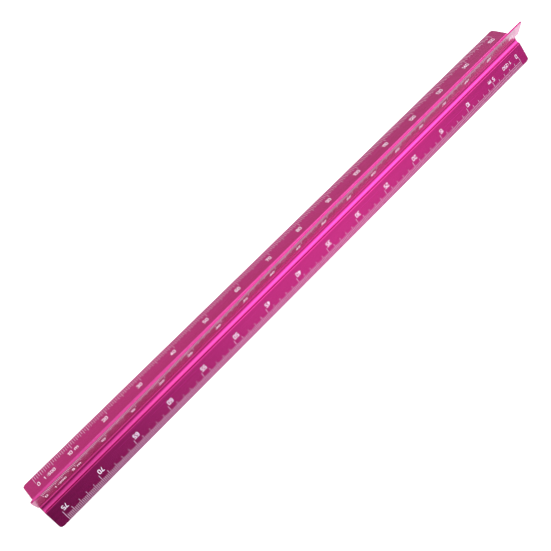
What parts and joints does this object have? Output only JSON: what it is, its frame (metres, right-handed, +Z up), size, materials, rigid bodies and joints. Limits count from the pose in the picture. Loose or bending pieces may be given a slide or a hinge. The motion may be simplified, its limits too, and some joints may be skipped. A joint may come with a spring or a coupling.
{
  "type": "triangular scale ruler",
  "caption": "Three-winged extruded aluminium drafting ruler with square-cut ends and a reduction scale printed on each wing face.",
  "frame": {"origin": "below the middle of the ruler, on the surface it lies on", "axes": "+X along the ruler, +Z up along the upright wing, the other two wings spread towards +Y and -Y"},
  "size_m": [0.31, 0.0242, 0.0211],
  "materials": {
    "anodised_aluminium": "satin magenta anodised, fine lengthwise extrusion grain",
    "marking_ink": "pale printed marking"
  },
  "bodies": {
    "root": {"ruler_body": "anodised_aluminium", "graduations_1_500": "marking_ink", "figures_1_500": "marking_ink", "ratio_1_500": "marking_ink", "graduations_1_250": "marking_ink", "figures_1_250": "marking_ink", "ratio_1_250": "marking_ink", "graduations_1_300": "marking_ink", "figures_1_300": "marking_ink", "ratio_1_300": "marking_ink", "graduations_1_400": "marking_ink", "figures_1_400": "marking_ink", "ratio_1_400": "marking_ink", "graduations_1_200": "marking_ink", "figures_1_200": "marking_ink", "ratio_1_200": "marking_ink", "graduations_1_100": "marking_ink", "figures_1_100": "marking_ink", "ratio_1_100": "marking_ink"}
  },
  "joints": []
}
